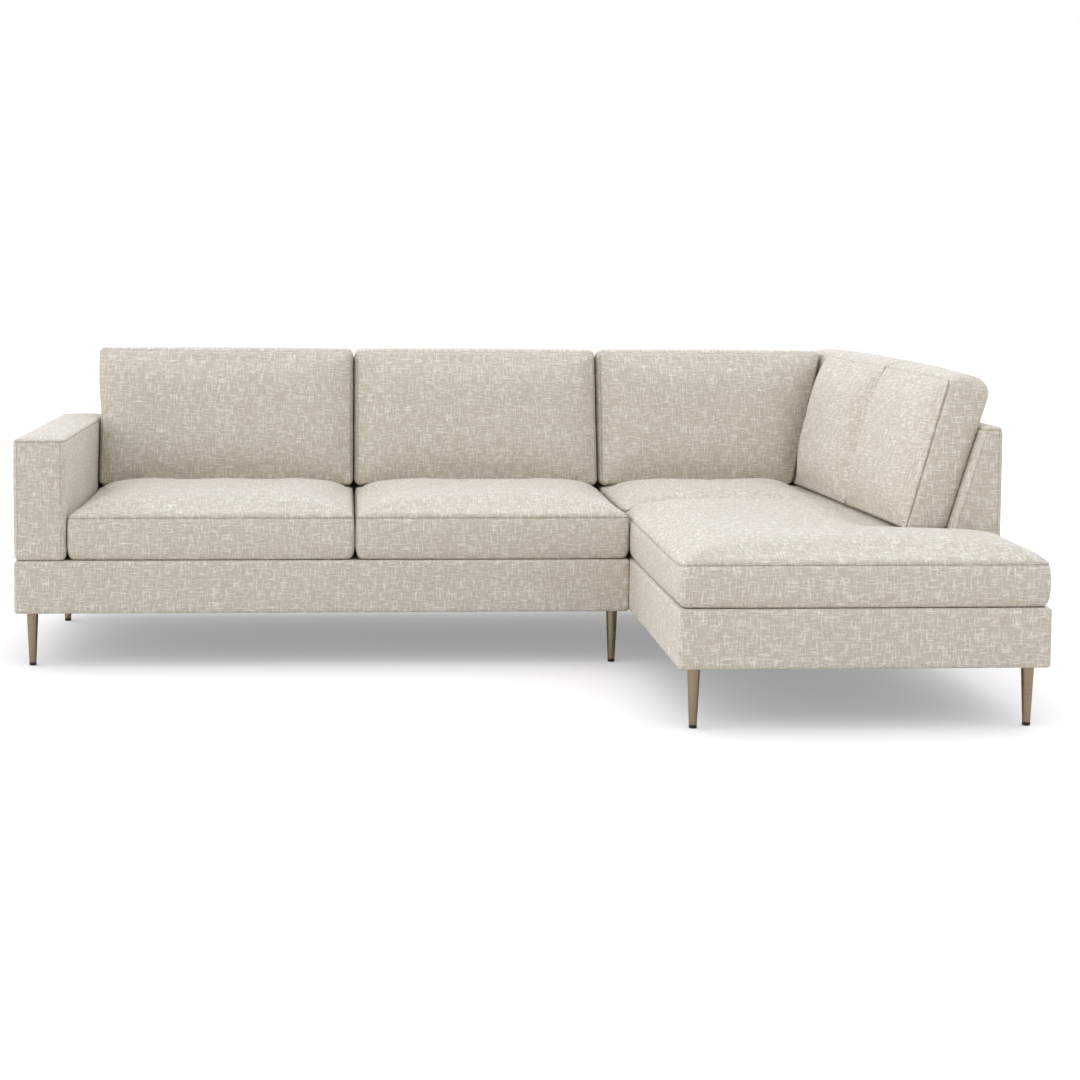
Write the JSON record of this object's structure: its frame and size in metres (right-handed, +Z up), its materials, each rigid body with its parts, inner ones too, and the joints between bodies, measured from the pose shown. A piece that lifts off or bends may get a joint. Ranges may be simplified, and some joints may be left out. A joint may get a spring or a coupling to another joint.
{
  "type": "sectional sofa",
  "caption": "Fabric sectional sofa: a section with one arm hooked to a corner seat and chaise, loose boxed seat and back cushions, and tapered metal legs.",
  "frame": {"origin": "on the floor under the middle of the outline", "axes": "+X along the sofa towards the chaise's side, +Y towards the back, +Z up; the seats face -Y"},
  "size_m": [2.5356, 1.74, 0.8314],
  "materials": {
    "upholstery": "slubbed plain weave, oatmeal",
    "deck_cloth": "plain cotton over wadding",
    "dust_cloth": "black non-woven cloth",
    "webbing": "elastic webbing",
    "frame_wood": "unfinished hardwood",
    "leg_metal": "brushed, bronze plated",
    "connector_steel": "zinc plated",
    "glide_nylon": "moulded nylon"
  },
  "bodies": {
    "frame": {"loveseat_front_rail": "upholstery", "loveseat_rear_rail": "upholstery", "loveseat_left_rail": "upholstery", "loveseat_right_rail": "upholstery", "loveseat_cross_rail": "frame_wood", "loveseat_webbing": "webbing", "loveseat_deck": "deck_cloth", "loveseat_dust_cover": "dust_cloth", "loveseat_front_left_leg": "leg_metal", "loveseat_front_right_leg": "leg_metal", "loveseat_rear_left_leg": "leg_metal", "loveseat_rear_right_leg": "leg_metal", "loveseat_front_left_glide": "glide_nylon", "loveseat_front_right_glide": "glide_nylon", "loveseat_rear_left_glide": "glide_nylon", "loveseat_rear_right_glide": "glide_nylon", "loveseat_front_left_leg_block": "frame_wood", "loveseat_front_right_leg_block": "frame_wood", "loveseat_rear_left_leg_block": "frame_wood", "loveseat_rear_right_leg_block": "frame_wood", "left_arm_cover": "upholstery", "left_arm_frame": "frame_wood", "loveseat_back_cover": "upholstery", "loveseat_back_frame": "frame_wood", "chaise_front_rail": "upholstery", "chaise_rear_rail": "upholstery", "chaise_left_rail": "upholstery", "chaise_right_rail": "upholstery", "chaise_cross_rail": "frame_wood", "chaise_webbing": "webbing", "chaise_deck": "deck_cloth", "chaise_dust_cover": "dust_cloth", "chaise_front_left_leg": "leg_metal", "chaise_front_right_leg": "leg_metal", "chaise_rear_left_leg": "leg_metal", "chaise_rear_right_leg": "leg_metal", "chaise_front_left_glide": "glide_nylon", "chaise_front_right_glide": "glide_nylon", "chaise_rear_left_glide": "glide_nylon", "chaise_rear_right_glide": "glide_nylon", "chaise_front_left_leg_block": "frame_wood", "chaise_front_right_leg_block": "frame_wood", "chaise_rear_left_leg_block": "frame_wood", "chaise_rear_right_leg_block": "frame_wood", "corner_back_cover": "upholstery", "corner_back_frame": "frame_wood", "return_back_cover": "upholstery", "return_back_frame": "frame_wood", "connector_tongue": "connector_steel", "connector_strap": "connector_steel"},
    "left_seat": {"left_seat_cushion": "upholstery"},
    "middle_seat": {"middle_seat_cushion": "upholstery"},
    "corner_seat": {"corner_seat_cushion": "upholstery"},
    "chaise_seat": {"chaise_seat_cushion": "upholstery"},
    "left_back": {"left_back_cushion": "upholstery"},
    "middle_back": {"middle_back_cushion": "upholstery"},
    "corner_back": {"corner_back_cushion": "upholstery"},
    "return_rear": {"return_rear_cushion": "upholstery"},
    "return_front": {"return_front_cushion": "upholstery"}
  },
  "joints": [
    {"name": "left_seat_lift", "type": "slide", "parent": "frame", "child": "left_seat", "axis": [0, 0, 1], "range_m": [0, 0.25]},
    {"name": "middle_seat_lift", "type": "slide", "parent": "frame", "child": "middle_seat", "axis": [0, 0, 1], "range_m": [0, 0.25]},
    {"name": "corner_seat_lift", "type": "slide", "parent": "frame", "child": "corner_seat", "axis": [0, 0, 1], "range_m": [0, 0.25]},
    {"name": "chaise_seat_lift", "type": "slide", "parent": "frame", "child": "chaise_seat", "axis": [0, 0, 1], "range_m": [0, 0.25]},
    {"name": "left_back_lift", "type": "slide", "parent": "left_seat", "child": "left_back", "axis": [0, 0.2924, 0.9563], "range_m": [0, 0.3]},
    {"name": "middle_back_lift", "type": "slide", "parent": "middle_seat", "child": "middle_back", "axis": [0, 0.2924, 0.9563], "range_m": [0, 0.3]},
    {"name": "corner_back_lift", "type": "slide", "parent": "corner_seat", "child": "corner_back", "axis": [0, 0.2924, 0.9563], "range_m": [0, 0.3]},
    {"name": "return_rear_lift", "type": "slide", "parent": "corner_seat", "child": "return_rear", "axis": [0.2924, 0, 0.9563], "range_m": [0, 0.3]},
    {"name": "return_front_lift", "type": "slide", "parent": "chaise_seat", "child": "return_front", "axis": [0.2924, 0, 0.9563], "range_m": [0, 0.3]}
  ]
}
